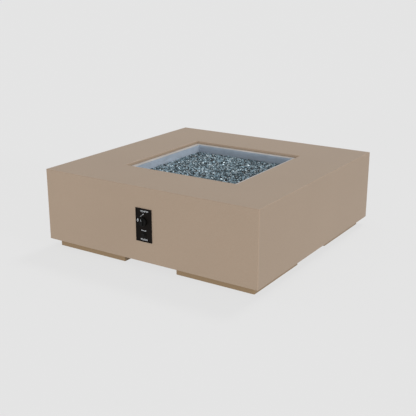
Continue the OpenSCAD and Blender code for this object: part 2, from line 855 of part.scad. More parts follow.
// The electromagnet that holds the gas open while the flame is warm, screwed to the valve's back
module safety_magnet() {
  back = face_y + valve_l;
  color(brass) translate([0, 0, knob_z]) difference() {
    union() {
      rod_y(magnet_r, back, back + magnet_l);
      hex_y(magnet_flats, back, back + magnet_hex_h);
      hex_y(tail_flats, back + magnet_l - eps, back + magnet_l + tail_l);
    }
    rod_y(stem_r + thread_clear, back - eps, back + rod_tail + knob_travel + rod_end_gap);
  }
}

// The stem: a round shaft through the valve's neck, with a flat where the knob fits
module valve_stem() {
  flat_l = knob_l - knob_hollow;
  front = plate_y - stem_front;
  color(bare_steel) translate([0, 0, knob_z]) difference() {
    rod_y(stem_r, front, face_y + chamber_front - seat_gap);
    translate([-stem_d, front - eps, stem_r * d_flat]) cube([2 * stem_d, flat_l + eps, stem_r]);
  }
}

// The push rod that the stem drives back through the valve to the magnet
module push_rod() {
  front = face_y + chamber_front + seat_gap / 2;
  color(bare_steel) translate([0, 0, knob_z]) {
    rod_y(chamber_r - collar_clear, front, front + collar_t);
    rod_y(stem_r, front + collar_t - eps, face_y + valve_l + rod_tail);
  }
}

module valve_spring() {
  front = face_y + chamber_front + seat_gap + collar_t;
  color(zinc) translate([0, 0, knob_z])
    coil_spring(front, face_y + chamber_back - seat_gap, valve_coil_r);
}

// The knob: a round skirt with a grip bar, hollow behind for the valve's nut
module control_knob() {
  r = knob_d / 2;
  back = plate_y - knob_gap;
  front = back - knob_l;
  lip = knob_lip;
  grip_r = r - grip_step;
  outline = [
    [0, 0], [r - lip, 0], [r, lip], [r, knob_skirt - lip], [r - lip, knob_skirt], [grip_r, knob_skirt],
    [grip_r - lip, knob_l - knob_soft], [grip_r - lip - knob_soft, knob_l], [0, knob_l]
  ];
  color(black) translate([0, 0, knob_z]) difference() {
    translate([0, back, 0]) rotate([90, 0, 0]) rotate_extrude() polygon(outline);
    for (side = [-1, 1]) translate([side * (grip_w / 2 + r) - r, front - eps, -r])
      cube([2 * r, knob_l - knob_skirt + eps, 2 * r]);
    rod_y(r - knob_wall, back - knob_hollow, back + eps);
    difference() {
      rod_y(stem_r + d_clear, front + knob_face, back);
      translate([-r, front, stem_r * d_flat + d_clear]) cube([2 * r, knob_l - knob_hollow, r]);
    }
    translate([-pointer_w / 2, front - eps, pointer_from]) cube([pointer_w, pointer_deep + eps, r]);
  }
}

module at_studs() {
  for (x = [-1, 1]) for (z = [-1, 1])
    translate([x * (plate_w / 2 - stud_edge), 0, plate_z + z * (plate_h / 2 - stud_edge)]) children();
}

// The control plate with a raised rim, a bore for the valve and the igniter, and studs behind
module control_plate() {
  well = [plate_w - 2 * rim_w, plate_h - 2 * rim_w];
  color(black) difference() {
    union() {
      translate([-plate_w / 2, rim_y, plate_z - plate_h / 2]) cube([plate_w, plate_t + rim_t, plate_h]);
      at_studs() rod_y(stud_d / 2, face_y - eps, face_y + sheet_t + stud_l);
    }
    translate([-well[0] / 2, rim_y - eps, plate_z - well[1] / 2]) cube([well[0], rim_t + eps, well[1]]);
    translate([0, 0, knob_z]) rod_y(neck_r + thread_clear, plate_y - eps, face_y + eps);
    translate([0, 0, igniter_z]) rod_y(barrel_r + thread_clear, plate_y - eps, face_y + eps);
  }
}

module plate_nuts() {
  color(zinc) at_studs() translate([0, -inner, 0]) rotate([-90, 0, 0])
    hex_nut(1.75 * stud_d, 0.8 * stud_d, stud_d / 2 + thread_clear);
}

// The igniter's barrel with a bezel in front, a bore for the button and a terminal behind
module igniter_housing() {
  color(black) translate([0, 0, igniter_z]) difference() {
    union() {
      rod_y(bezel_r, plate_y - bezel_t, plate_y);
      rod_y(barrel_r, plate_y - eps, plate_y + barrel_l);
      translate([-terminal_w / 2, plate_y + barrel_l - eps, -terminal_t / 2])
        cube([terminal_w, terminal_l + eps, terminal_t]);
    }
    rod_y(button_r + run_clear, plate_y - bezel_t - eps, plate_y - bezel_t + igniter_bore);
  }
}

module igniter_nut() {
  color(zinc) translate([0, face_y, igniter_z]) rotate([-90, 0, 0])
    hex_nut(igniter_nut_flats, igniter_nut_h, barrel_r + thread_clear);
}

module igniter_button() {
  front = plate_y - bezel_t - button_out;
  back = plate_y - bezel_t + button_in;
  long = back - front;
  outline = concat(
    [[0, 0], [button_r, 0]], arc(button_r - button_soft, long - button_soft, button_soft, 0, 90),
    [[0, long - button_dish]]);
  color(black) translate([0, back, igniter_z]) rotate([90, 0, 0]) rotate_extrude() polygon(outline);
}

module igniter_spring() {
  front = plate_y - bezel_t;
  color(zinc) translate([0, 0, igniter_z])
    coil_spring(front + button_in + seat_gap, front + igniter_bore - seat_gap, igniter_coil_r);
}

module thermocouple_lead() {
  color(copper) tube_along(bent(sense_route), sense_lead_r, 8, [1, 0, 0.2]);
}

module spark_lead() {
  color([0.60, 0.16, 0.12]) tube_along(bent(spark_route), spark_lead_r, 8, [1, 0, 0.2]);
}

top_panel();
front_panel();
right_panel();
back_panel();
left_panel();
corner_posts();
ledge_rails();
foot_front_left();
foot_front_right();
foot_back_left();
foot_back_right();
foot_plates();
foot_bolts();
foot_nuts();
fire_pan();
burner_ring();
burner_locknuts();
lava_rock();
fire_glass();
pilot_bracket();
pilot_screws();
thermocouple();
spark_electrode();
air_mixer();
burner_elbow();
outlet_hose();
inlet_hose();
hose_nuts();
inlet_fitting();
inlet_locknut();
gas_valve();
valve_nut();
safety_magnet();
valve_stem();
push_rod();
valve_spring();
control_knob();
control_plate();
plate_nuts();
igniter_housing();
igniter_nut();
igniter_button();
igniter_spring();
thermocouple_lead();
spark_lead();
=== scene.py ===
# Square gas fire pit table: the finishes and fine pieces that dress the packed frame.
# Metres. The origin is the middle of the footprint on the floor, +Z is up, the front is -Y.
import math
import random

import bmesh
import bpy
from bpy.props import FloatProperty, FloatVectorProperty, IntProperty, PointerProperty, StringProperty
from mathutils import Matrix, Vector


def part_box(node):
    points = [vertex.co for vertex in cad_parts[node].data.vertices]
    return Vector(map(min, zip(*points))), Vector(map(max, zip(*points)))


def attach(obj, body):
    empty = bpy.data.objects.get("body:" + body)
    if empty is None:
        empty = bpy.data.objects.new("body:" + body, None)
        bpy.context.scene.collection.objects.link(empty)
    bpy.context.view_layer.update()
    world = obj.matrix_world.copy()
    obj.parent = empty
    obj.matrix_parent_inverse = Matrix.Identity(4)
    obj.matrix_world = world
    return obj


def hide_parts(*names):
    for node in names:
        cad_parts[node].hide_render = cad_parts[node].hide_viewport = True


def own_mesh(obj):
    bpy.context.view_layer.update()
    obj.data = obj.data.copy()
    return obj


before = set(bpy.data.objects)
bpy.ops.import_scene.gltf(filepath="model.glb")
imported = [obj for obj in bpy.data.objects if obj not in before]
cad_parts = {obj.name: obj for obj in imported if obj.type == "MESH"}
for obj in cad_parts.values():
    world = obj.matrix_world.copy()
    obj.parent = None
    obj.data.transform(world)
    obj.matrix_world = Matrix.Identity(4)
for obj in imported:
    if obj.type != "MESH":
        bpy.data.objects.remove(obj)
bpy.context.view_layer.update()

bl_info = {
    "name": "Gas Fire Pit Table",
    "version": (1, 0, 0),
    "blender": (4, 5, 0),
    "location": "View3D > Sidebar > Fire Pit",
    "description": "Dresses a fire pit table: coated casing, steel pan, fire glass, controls and gas line",
    "category": "Object",
}

MM = 0.001
TOUCHING = 1e-6  # corners closer than this are one
BEND_STEPS = 32
WHITE = (1.0, 1.0, 1.0)

# Numbers of a Mix node's sockets where it mixes colours
MIX_FACTOR, MIX_FIRST, MIX_SECOND, MIX_RESULT = 0, 6, 7, 2

# Frame nodes that share a finish
COATED = (
    "top_panel", "front_panel", "right_panel", "back_panel", "left_panel", "corner_posts", "ledge_rails",
)
FEET = ("foot_front_left", "foot_front_right", "foot_back_left", "foot_back_right", "foot_plates")
PAN_STEEL = ("fire_pan", "pilot_bracket")
FIRED_STEEL = ("burner_ring", "thermocouple")
TURNED_STEEL = ("valve_stem", "push_rod")
ZINC_PLATED = ("foot_bolts", "foot_nuts", "pilot_screws", "plate_nuts", "valve_nut", "igniter_nut")
BRASS = (
    "burner_locknuts", "air_mixer", "burner_elbow", "hose_nuts", "inlet_fitting", "inlet_locknut",
    "gas_valve", "safety_magnet",
)

# Routes of the hoses and leads in millimetres: the start, the corners with their bend radii, the end
OUTLET_ROUTE = (
    (0, -31.3, 199),
    (((0, -131, 199), 140), ((150, -426, 236), 70), ((150, -576, 244), 70)),
    (47.3, -576, 244),
)
INLET_ROUTE = (
    (-568, 0, 66.3),
    (((-568, 0, 166.3), 70), ((-418, -276, 190), 280), ((-170, -576, 244), 70)),
    (-47.3, -576, 244),
)
SENSOR_ROUTE = (
    (0, -517.7, 244),
    (((0, -448, 244), 60), ((40, -328, 238), 60), ((80, -110, 228), 15)),
    (80, -110, 261.7),
)
SPARK_ROUTE = (
    (0, -551.7, 179),
    (((0, -472, 179), 60), ((0, -302, 156), 60), ((61, -110, 160), 40)),
    (61, -110, 261.7),
)


# Settings that a user would change

def colour(name, description, default):
    return FloatVectorProperty(
        name=name, description=description, default=default, subtype="COLOR", size=3, min=0.0, max=1.0)


def length(name, description, default):
    return FloatProperty(
        name=name, description=description, default=default, unit="LENGTH", min=0.0, precision=5)


def factor(name, description, default):
    return FloatProperty(
        name=name, description=description, default=default, subtype="FACTOR", min=0.0, max=1.0)


def power(name, description, default):
    return FloatProperty(name=name, description=description, default=default, min=0.0)


def degrees(name, description, default):
    return FloatProperty(
        name=name, description=description, default=math.radians(default), subtype="ANGLE")


class CasingSettings(bpy.types.PropertyGroup):
    """Powder coat of the casing and its feet, darkened on the feet as painted shade"""
    coat: colour("Coat", "Colour of the powder coat", (0.317, 0.241, 0.178))
    fleck: colour("Fleck", "Darker fleck in the coat's grain", (0.272, 0.204, 0.147))
    glint: colour("Glint", "Paler fleck in the coat's grain", (0.353, 0.274, 0.208))
    # Feet tint: darkens the same coat on the feet, painted shade for the shade they stand in under the
    # casing
    feet: colour("Feet", "Tint of the coat on the feet", (0.755, 0.685, 0.535))
    grain: length("Grain", "Size of the coat's fine grain", 0.0012)
    peel: length("Orange peel", "Size of the coat's soft ripples", 0.005)
    roughness: factor("Roughness", "Mean roughness of the coat", 0.46)


class MetalSettings(bpy.types.PropertyGroup):
    """Bare and plated metal"""
    pan: colour("Pan", "Brushed sheet of the fire pan", (0.430, 0.492, 0.575))
    # Pan rim: paler colour on the flange's flat top, a painted highlight for the light it catches
    rim: colour("Pan rim", "Pale flange above the flames", (0.47, 0.45, 0.435))
    fired: colour("Burner", "Steel of the burner, tinted by heat", (0.40, 0.36, 0.32))
    turned: colour("Turned steel", "Stem and push rod", (0.60, 0.60, 0.60))
    zinc: colour("Zinc", "Plating of nuts and bolts", (0.56, 0.57, 0.59))
    brass: colour("Brass", "Machined gas fittings", (0.66, 0.46, 0.17))
    brush: length("Brush marks", "Spacing of the brushed lines on the pan", 0.0008)


class GlassSettings(bpy.types.PropertyGroup):
    """Bed of crushed fire glass over lava rock"""
    seed: IntProperty(name="Seed", description="Seed of the scattered pieces", default=23, min=0)
    size: length("Piece size", "Mean size of a piece of glass", 0.0106)
    share: factor("Share", "Share of the bed's facets that carry a loose piece", 0.64)
    gap: length("Gap depth", "Depth of the dark gaps between pieces", 0.003)
    # Dark: the glass's deepest tint, which also colours the core as painted shade
    dark: colour("Dark", "Deep tint inside the glass", (0.009, 0.018, 0.022))
    amber: colour("Amber", "Few warm faces in the deep glass", (0.036, 0.027, 0.022))
    tint: colour("Tint", "Body colour of the glass", (0.168, 0.236, 0.276))
    # Pale: real mirror-coated faces, coloured pale as a painted reflection of the bright room
    pale_mirror_reflection: colour("Pale", "Mirrored faces", (0.47, 0.545, 0.58))
    lava: colour("Lava", "Porous rock below the glass", (0.052, 0.042, 0.038))


class ControlSettings(bpy.types.PropertyGroup):
    """Control plate, knob and igniter"""
    plate: colour("Plate", "Satin coat of the control plate", (0.0084, 0.0070, 0.0060))
    plastic: colour("Plastic", "Moulded knob and button", (0.0065, 0.0062, 0.0060))
    ink: colour("Ink", "Printed marks", (0.43, 0.45, 0.47))
    ink_t: length("Ink thickness", "How far the print stands off the plate", 0.00015)
    off_word: StringProperty(name="Upper word", description="Word above the knob", default="OFF")
    push_word: StringProperty(name="Lower word", description="Word below the igniter", default="PUSH")


class GasSettings(bpy.types.PropertyGroup):
    """Hoses, leads and springs"""
    hose_d: length("Hose diameter", "Outside of the hose's ribs", 0.016)
    rib: length("Rib pitch", "Distance from rib to rib", 0.0055)
    rib_deep: length("Rib depth", "Depth of the grooves between ribs", 0.0013)
    sensor_d: length("Sensor lead", "Diameter of the sensor's lead", 0.0032)
    spark_d: length("Spark lead", "Diameter of the spark lead", 0.0044)
    hose: colour("Hose", "Corrugated steel", (0.56, 0.57, 0.59))
    copper: colour("Copper", "Sensor lead", (0.58, 0.25, 0.12))
    sleeve: colour("Sleeve", "Silicone sleeve of the spark lead", (0.30, 0.030, 0.020))


class StageSettings(bpy.types.PropertyGroup):
    """Floor, light and camera"""
    floor: colour("Floor", "Pale studio floor", (0.071, 0.071, 0.071))
    glow: power("Floor glow", "Strength of the light that the floor gives", 0.70)
    sky: power("Sky", "Strength of the even light all round", 0.60)
    top: power("Top light", "Strength of the soft light from high behind", 1.40)
    low: power("Low light", "Strength of the low lights at front, back and left", 1.77)
    side: power("Side light", "Strength of the light from the right", 1.45)
    soft: degrees("Softness", "Width of the lights as the table sees them", 12.0)
    lens: FloatProperty(
        name="Lens", description="Focal length of the camera", default=65.86, unit="CAMERA", min=1.0)
    azimuth: degrees("Azimuth", "Turn of the camera round the table", 33.09)
    elevation: degrees("Elevation", "Height of the camera above the horizon", 17.69)
    distance: length("Distance", "From the aim point to the camera", 4.076)
    aim: FloatVectorProperty(
        name="Aim", description="Point at the middle of the picture",
        default=(-0.0470, 0.0059, 0.1363), subtype="TRANSLATION", size=3)


# Materials

class Finish:
    """A procedural material that is built up round one shader."""

    def __init__(self, name, **sockets):
        self.material = bpy.data.materials.new(name)
        self.material.use_nodes = True
        self.tree = self.material.node_tree
        self.shader = self.tree.nodes["Principled BSDF"]
        self.place = self.tree.nodes.new("ShaderNodeTexCoord").outputs["Object"]
        for key, value in sockets.items():
            self.shader.inputs[key.replace("_", " ")].default_value = value

    def add(self, kind, links=(), **values):
        """A node with its own values and with links to its inputs."""
        made = self.tree.nodes.new(kind)
        for key, value in values.items():
            if hasattr(made, key):
                setattr(made, key, value)
            else:
                made.inputs[key].default_value = value
        for key, source in dict(links).items():
            self.tree.links.new(source, made.inputs[key])
        return made

    def noise(self, size, detail=2.0, stretch=(1.0, 1.0, 1.0)):
        """Soft lumps about as large as size, drawn out along the axes by stretch."""
        place = self.add("ShaderNodeMapping", {"Vector": self.place}, Scale=[1.0 / s for s in stretch])
        made = self.add("ShaderNodeTexNoise", {"Vector": place.outputs["Vector"]},
                        Scale=1.0 / size, Detail=detail, Roughness=0.55)
        return made.outputs["Fac"]

    def cells(self, size):
        """Distance to the nearest of many scattered points, for pits and chips."""
        made = self.add("ShaderNodeTexVoronoi", {"Vector": self.place}, Scale=1.0 / size)
        return made.outputs["Distance"]

    def attribute(self, name):
        """A value that the piece's own faces carry."""
        return self.add("ShaderNodeAttribute", attribute_name=name).outputs["Fac"]

    def ramp(self, source, *stops):
        """Colours that follow a value, each stop with its place from 0 to 1."""
        made = self.add("ShaderNodeValToRGB", {"Fac": source})
        points = made.color_ramp.elements
        while len(points) < len(stops):
            points.new(0.5)
        for point, (where, rgb) in zip(points, stops):
            point.position = where
            point.color = (*rgb, 1.0)
        return made.outputs["Color"]

    def spread(self, source, low, high, over=(0.3, 0.7)):
        """A value that goes from low to high as the source crosses a range, or the middle of a noise."""
        made = self.add("ShaderNodeMapRange", {"Value": source})
        for key, value in (("From Min", over[0]), ("From Max", over[1]), ("To Min", low), ("To Max", high)):
            made.inputs[key].default_value = value
        return made.outputs["Result"]

    def mix(self, first, second, share=None):
        """The product of two colours or, where a share is given, a mix that goes from first to second."""
        made = self.add("ShaderNodeMix", data_type="RGBA", blend_type="MULTIPLY" if share is None else "MIX")
        made.inputs[MIX_FACTOR].default_value = 1.0
        for key, source in ((MIX_FACTOR, share), (MIX_FIRST, first), (MIX_SECOND, second)):
            if source is not None:
                self.tree.links.new(source, made.inputs[key])
        return made.outputs[MIX_RESULT]

    def set(self, socket, source):
        """Links a value or colour to the shader."""
        self.tree.links.new(source, self.shader.inputs[socket])

    def bump(self, source, height, strength, under=None):
        """Relief on the surface, laid over another where one is given."""
        links = {"Height": source} if under is None else {"Height": source, "Normal": under}
        relief = self.add("ShaderNodeBump", links, Distance=height, Strength=strength).outputs["Normal"]
        self.set("Normal", relief)
        return relief


def scaled(rgb, by):
    """A lighter or darker shade of a colour."""
    return tuple(min(1.0, c * by) for c in rgb)


def dress(material, *names):
    """Gives carried-over frame nodes one finish."""
    for name in names:
        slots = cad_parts[name].data.materials
        slots.clear()
        slots.append(material)


def powder_coat(s, name, tint):
    """Satin coat with darker and paler flecks in its grain, over soft ripples, all scaled by a tint that
    paints shade on the feet.
    """
    f = Finish(name, IOR=1.5, Specular_IOR_Level=0.25)
    grain = f.noise(s.grain, detail=3.0)
    flecks = f.ramp(grain, (0.34, s.fleck), (0.47, s.coat), (0.56, s.coat), (0.70, s.glint))
    # Random soft tone times the tint; the feet tint here is painted shade
    cloud = f.ramp(f.noise(0.35), (0.25, scaled(tint, 0.965)), (0.75, tint))
    f.set("Base Color", f.mix(flecks, cloud))
    f.set("Roughness", f.spread(grain, s.roughness - 0.05, s.roughness + 0.07))
    ripples = f.bump(f.noise(s.peel, detail=1.0), height=0.00012, strength=0.6)
    f.bump(grain, height=0.00005, strength=0.7, under=ripples)
    return f.material


def brushed_sheet(s):
    """Brushed sheet under a film of haze, painted paler on the flange's top as a painted highlight."""
    f = Finish("brushed pan sheet", Metallic=0.25, Specular_IOR_Level=0.4)
    lines = f.noise(s.brush, detail=3.0, stretch=(90.0, 90.0, 1.0))
    wall = f.ramp(lines, (0.30, scaled(s.pan, 0.86)), (0.52, s.pan), (0.72, scaled(s.pan, 1.10)))
    # Paler ramp for the flange top: painted highlight
    rim = f.ramp(lines, (0.30, scaled(s.rim, 0.90)), (0.72, scaled(s.rim, 1.08)))
    height = f.add("ShaderNodeSeparateXYZ", {"Vector": f.place}).outputs["Z"]
    rim_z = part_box("fire_pan")[1].z
    # Mask of the flange's top, just below the rim, where the painted highlight goes
    flange_highlight_mask = f.spread(height, 0.0, 1.0, over=(rim_z - 0.0006, rim_z - 0.0001))
    haze = f.noise(0.06, detail=3.0)
    film = f.ramp(haze, (0.35, (0.93, 0.93, 0.92)), (0.60, WHITE))
    f.set("Base Color", f.mix(f.mix(wall, rim, flange_highlight_mask), film))
    f.set("Roughness", f.spread(haze, 0.34, 0.46))
    f.bump(lines, height=0.00004, strength=0.5)
    return f.material


def metal(name, rgb, rough, grain, shade=0.72):
    """Machined, plated or drawn metal: darker in its pits, with a fine tool grain."""
    f = Finish(name, Metallic=1.0)
    lumps = f.noise(grain, detail=4.0)
    stain = f.noise(grain * 14.0, detail=3.0)
    tone = f.ramp(lumps, (0.30, scaled(rgb, shade)), (0.50, rgb), (0.75, scaled(rgb, 1.12)))
    dull = f.ramp(stain, (0.32, (0.80, 0.78, 0.76)), (0.58, WHITE))
    f.set("Base Color", f.mix(tone, dull))
    f.set("Roughness", f.spread(stain, rough + 0.12, rough - 0.04))
    f.bump(lumps, height=grain * 0.06, strength=0.5)
    return f.material


def heat_tint(s):
    """Steel that the flames have tinted from blue through straw to grey."""
    f = Finish("heat tinted steel", Metallic=1.0)
    heat = f.noise(0.05, detail=3.0)
    f.set("Base Color", f.ramp(
        heat, (0.28, (0.20, 0.19, 0.22)), (0.42, (0.30, 0.25, 0.21)), (0.55, s.fired),
        (0.72, (0.52, 0.50, 0.47))))
    f.set("Roughness", f.spread(heat, 0.50, 0.34))
    f.bump(f.noise(0.0012, detail=3.0), height=0.00006, strength=0.6)
    return f.material


def crushed_glass(s):
    """Sharp glass whose faces go from a deep tint to pale mirror-coated faces, their paleness a painted
    reflection.
    """
    f = Finish("crushed fire glass", IOR=1.52, Specular_IOR_Level=0.16)
    tint = f.attribute("tint")
    # Tint ramp from deep glass colours up to pale mirrored faces, the pale end a painted reflection
    f.set("Base Color", f.ramp(
        tint, (0.0, s.amber), (0.02, s.dark), (0.47, s.tint), (0.74, scaled(s.tint, 1.8)), (0.90, s.pale_mirror_reflection)))
    f.set("Metallic", f.spread(tint, 0.0, 0.20))
    f.set("Roughness", f.spread(f.noise(0.004), 0.28, 0.42))
    f.bump(f.noise(0.0025), height=0.0001, strength=0.35)
    return f.material


def glass_core(s):
    """The glass between and below the loose pieces, coloured nearly black as painted shade in the gaps."""
    f = Finish("fire glass core in painted shade", Roughness=0.3)
    chips = f.cells(0.006)
    # Nearly black across the core, where the gaps between pieces fall in shade: painted shade
    f.set("Base Color", f.ramp(chips, (0.1, scaled(s.tint, 0.8)), (0.6, s.dark)))
    f.bump(chips, height=0.002, strength=0.8)
    return f.material


def lava_stone(s):
    """Porous rock with dark pits and a touch of rust."""
    f = Finish("porous lava rock", Roughness=0.92)
    pits = f.cells(0.007)
    stone = f.ramp(pits, (0.08, scaled(s.lava, 0.35)), (0.30, s.lava), (0.8, scaled(s.lava, 1.6)))
    rust = f.ramp(f.noise(0.03, detail=4.0), (0.35, WHITE), (0.7, (1.0, 0.72, 0.6)))
    f.set("Base Color", f.mix(stone, rust))
    f.bump(pits, height=0.003, strength=0.9)
    return f.material


def fired_ceramic():
    """Unglazed ceramic of the electrode."""
    f = Finish("fired ceramic", IOR=1.55)
    grain = f.noise(0.0015, detail=3.0)
    f.set("Base Color", f.ramp(grain, (0.3, (0.66, 0.63, 0.57)), (0.6, (0.80, 0.78, 0.73))))
    f.set("Roughness", f.spread(grain, 0.45, 0.62))
    f.bump(grain, height=0.00004, strength=0.6)
    return f.material


def black_coat(s):
    """Satin black coat of the control plate."""
    f = Finish("satin black coat", IOR=1.45, Specular_IOR_Level=0.05)
    grain = f.noise(0.0009, detail=3.0)
    f.set("Base Color", f.ramp(
        grain, (0.32, scaled(s.plate, 0.7)), (0.6, s.plate), (0.8, scaled(s.plate, 1.5))))
    f.set("Roughness", f.spread(grain, 0.42, 0.56))
    f.bump(grain, height=0.00003, strength=0.7)
    return f.material


def moulded_plastic(s, name, rough):
    """Black plastic with the fine texture of its mould."""
    f = Finish(name, IOR=1.47, Specular_IOR_Level=0.08)
    texture = f.noise(0.0006)
    f.set("Base Color", f.ramp(texture, (0.3, scaled(s.plastic, 0.8)), (0.7, scaled(s.plastic, 1.3))))
    f.set("Roughness", f.spread(texture, rough - 0.06, rough + 0.08))
    f.bump(texture, height=0.00003, strength=0.8)
    return f.material


def printed_ink(s):
    """Pale ink, thinner where it has worn."""
    f = Finish("printed ink", Roughness=0.55)
    wear = f.noise(0.0016, detail=3.0)
    f.set("Base Color", f.ramp(wear, (0.28, scaled(s.ink, 0.82)), (0.45, s.ink)))
    f.bump(wear, height=0.00002, strength=0.4)
    return f.material


def silicone(s):
    """Soft sleeve of the spark lead, a little dusty."""
    f = Finish("silicone sleeve", IOR=1.41)
    dust = f.noise(0.002, detail=3.0)
    f.set("Base Color", f.ramp(dust, (0.3, scaled(s.sleeve, 0.8)), (0.7, scaled(s.sleeve, 1.25))))
    f.set("Roughness", f.spread(dust, 0.48, 0.66))
    f.bump(dust, height=0.00003, strength=0.5)
    return f.material


def floor_paint(s):
    """Floor that gives a little light of its own, so that it stays pale round the table."""
    f = Finish("lit studio floor", Roughness=0.95, Specular_IOR_Level=0.0,
               Emission_Color=(*WHITE, 1.0), Emission_Strength=s.glow)
    f.set("Base Color", f.ramp(f.noise(3.0, detail=1.0), (0.3, scaled(s.floor, 0.995)), (0.7, s.floor)))
    return f.material


# Shapes

def made_mesh(bm, name):
    """Turns a bmesh into a mesh."""
    mesh = bpy.data.meshes.new(name)
    bm.to_mesh(mesh)
    bm.free()
    return mesh


def hold(name, data):
    """Puts a mesh, word, light or camera into the scene."""
    holder = bpy.data.objects.new(name, data)
    bpy.context.collection.objects.link(holder)
    return holder


def finished_mesh(holder):
    """The mesh that a word, or a shape with modifiers, comes to."""
    bpy.context.view_layer.update()
    return bpy.data.meshes.new_from_object(holder.evaluated_get(bpy.context.evaluated_depsgraph_get()))


def put_in_order(items, place):
    """Sorts a shape's corners or faces by where they are, so that each run gives the same mesh."""
    in_order = sorted(items, key=lambda item: place(item).to_tuple(6))
    ranks = {item: rank for rank, item in enumerate(in_order)}
    items.sort(key=ranks.get)


def keep(bm, name, material, body="base", smooth=False):
    """Turns a bmesh into a piece at the origin that rides on a body."""
    put_in_order(bm.verts, lambda vert: vert.co)
    put_in_order(bm.faces, lambda face: face.calc_center_median())
    for face in bm.faces:
        face.smooth = smooth
    piece = hold(name, made_mesh(bm, name))
    piece.data.materials.append(material)
    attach(piece, body)
    return piece


def bend(before, corner, after, radius):
    """Points round a corner between two straight runs."""
    back, on = (before - corner).normalized(), (after - corner).normalized()
    half = back.angle(on) / 2
    start = corner + back * radius / math.tan(half)
    middle = corner + (back + on).normalized() * radius / math.sin(half)
    turns = [(math.pi - 2 * half) * k / BEND_STEPS for k in range(BEND_STEPS + 1)]
    return [middle + (start - middle) * math.cos(w) - back * radius * math.sin(w) for w in turns]


def even_route(route, spacing):
    """Points an even distance apart on a route with rounded corners, and the route's length."""
    start, corners, end = route
    places = [Vector(p) * MM for p in (start, *(place for place, _ in corners), end)]
    dense = [places[0]]
    for before, corner, after, (_, radius) in zip(places, places[1:], places[2:], corners):
        dense += bend(before, corner, after, radius * MM)
    dense.append(places[-1])
    runs = [0.0]
    for p, q in zip(dense, dense[1:]):
        runs.append(runs[-1] + (q - p).length)
    count = round(runs[-1] / spacing)
    path, at = [], 0
    for k in range(count + 1):
        want = runs[-1] * k / count
        while at < len(runs) - 2 and runs[at + 1] < want:
            at += 1
        path.append(dense[at].lerp(dense[at + 1], (want - runs[at]) / (runs[at + 1] - runs[at])))
    return path, runs[-1]


def sweep(bm, path, radii, sides):
    """A closed tube along a path, with its own radius at each point."""
    last = len(path) - 1
    ways = [(path[min(i + 1, last)] - path[max(i - 1, 0)]).normalized() for i in range(last + 1)]
    start = Matrix.Translation(path[0]) @ ways[0].to_track_quat("Z", "Y").to_matrix().to_4x4()
    ring = bmesh.ops.create_circle(bm, cap_ends=True, segments=sides, radius=radii[0], matrix=start)["verts"]
    edges = list(dict.fromkeys(edge for vert in ring for edge in vert.link_edges))
    for i in range(1, last + 1):
        made = bmesh.ops.extrude_edge_only(bm, edges=edges)["geom"]
        ring = [item for item in made if isinstance(item, bmesh.types.BMVert)]
        lines = [item for item in made if isinstance(item, bmesh.types.BMEdge)]
        edges = [line for line in lines if set(ring).issuperset(line.verts)]
        turn = ways[i - 1].rotation_difference(ways[i]).to_matrix().to_4x4()
        size = Matrix.Scale(radii[i] / radii[i - 1], 4)
        move = Matrix.Translation(path[i]) @ turn @ size @ Matrix.Translation(-path[i - 1])
        bmesh.ops.transform(bm, matrix=move, verts=ring)
    bmesh.ops.edgeloop_fill(bm, edges=edges)
    bmesh.ops.recalc_face_normals(bm, faces=bm.faces)


def revolve(bm, profile, centre, steps):
    """Spins a profile of (radius, way along -Y) round the -Y line through centre."""
    verts = [bm.verts.new(centre + Vector((r, -along, 0.0))) for r, along in profile]
    edges = [bm.edges.new(pair) for pair in zip(verts, verts[1:])]
    bmesh.ops.spin(bm, geom=verts + edges, cent=centre, axis=(0.0, 1.0, 0.0), angle=math.tau, steps=steps,
                   use_merge=True)
    bmesh.ops.remove_doubles(bm, verts=bm.verts, dist=TOUCHING)
    bmesh.ops.recalc_face_normals(bm, faces=bm.faces)


def bevel(bm, edges, width, segments):
    bmesh.ops.bevel(bm, geom=edges, offset=width, offset_type="OFFSET", affect="EDGES", segments=segments,
                    profile=0.5, material=-1, clamp_overlap=True)


def block(bm, low, high):
    """A box between two corners."""
    low, high = Vector(low), Vector(high)
    size = Matrix.Diagonal((*(high - low), 1.0))
    bmesh.ops.create_cube(bm, size=1.0, matrix=Matrix.Translation((low + high) / 2) @ size)


def unite(first, second):
    """One closed skin round two shapes that overlap."""
    holders = [hold("shape", made_mesh(shape, "shape")) for shape in (first, second)]
    join = holders[0].modifiers.new("join", "BOOLEAN")
    join.operation, join.solver, join.object = "UNION", "EXACT", holders[1]
    skin = finished_mesh(holders[0])
    whole = bmesh.new()
    whole.from_mesh(skin)
    for mesh in (*[holder.data for holder in holders], skin):
        bpy.data.meshes.remove(mesh)
    bmesh.ops.remove_doubles(whole, verts=whole.verts, dist=TOUCHING)
    return whole


def middle_z(node):
    """How high the middle of a frame node is."""
    low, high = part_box(node)
    return (low.z + high.z) / 2


# Operators, one for each piece or group of like pieces

class FIREPIT_OT_coat_casing(bpy.types.Operator):
    """Gives the casing, its angles and its feet a fine powder coat, darkened on the feet as painted shade"""
    bl_idname = "fire_pit.coat_casing"
    bl_label = "Coat Casing"

    def execute(self, context):
        s = context.scene.fire_pit_casing
        dress(powder_coat(s, "tan powder coat", WHITE), *COATED)
        # The same coat darkened by the feet tint: painted shade
        dress(powder_coat(s, "tan powder coat with painted shade", s.feet), *FEET)
        return {"FINISHED"}


class FIREPIT_OT_finish_metal(bpy.types.Operator):
    """Gives the pan, burner, fittings, fasteners and electrode their finishes"""
    bl_idname = "fire_pit.finish_metal"
    bl_label = "Finish Metal"

    def execute(self, context):
        s = context.scene.fire_pit_metal
        dress(brushed_sheet(s), *PAN_STEEL)
        dress(heat_tint(s), *FIRED_STEEL)
        dress(metal("turned steel", s.turned, rough=0.24, grain=0.0010), *TURNED_STEEL)
        dress(metal("zinc plate", s.zinc, rough=0.36, grain=0.0016), *ZINC_PLATED)
        dress(metal("machined brass", s.brass, rough=0.26, grain=0.0012, shade=0.80), *BRASS)
        dress(fired_ceramic(), "spark_electrode")
        return {"FINISHED"}


